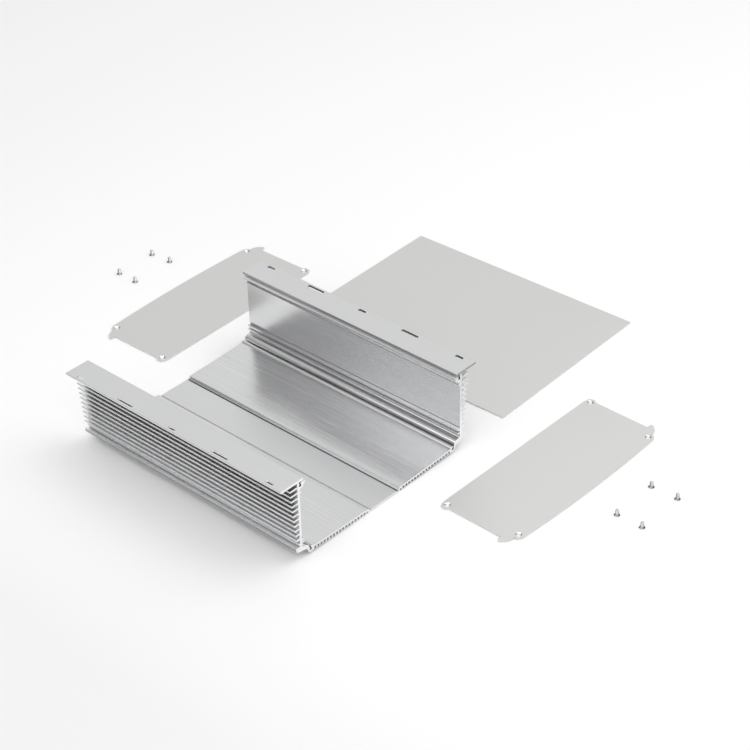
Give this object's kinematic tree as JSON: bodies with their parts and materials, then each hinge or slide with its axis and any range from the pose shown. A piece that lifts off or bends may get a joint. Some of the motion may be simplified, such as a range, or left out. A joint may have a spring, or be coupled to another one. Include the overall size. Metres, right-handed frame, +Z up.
{
  "type": "aluminium project box",
  "caption": "Finned two-sided extruded aluminium equipment box laid out in pieces: side extrusions, centre strip, flat cover, end plates and countersunk screws.",
  "frame": {"origin": "centre of the whole layout's footprint, at the level of the table it lies on", "axes": "+X along the extrusions towards the front end plate, +Y across the box towards the cover sheet, +Z up"},
  "size_m": [0.6445, 0.4822, 0.0821],
  "materials": {
    "extruded_aluminium": "satin, drawn lines along the length",
    "sheet_aluminium": "matte anodised",
    "screw_steel": "bright nickel plated"
  },
  "bodies": {
    "root": {"left_side_extrusion": "extruded_aluminium", "right_side_extrusion": "extruded_aluminium", "centre_strip": "extruded_aluminium", "cover_sheet": "sheet_aluminium", "front_end_plate": "sheet_aluminium", "rear_end_plate": "sheet_aluminium", "front_screw_1": "screw_steel", "front_screw_2": "screw_steel", "front_screw_3": "screw_steel", "front_screw_4": "screw_steel", "rear_screw_1": "screw_steel", "rear_screw_2": "screw_steel", "rear_screw_3": "screw_steel", "rear_screw_4": "screw_steel"}
  },
  "joints": []
}
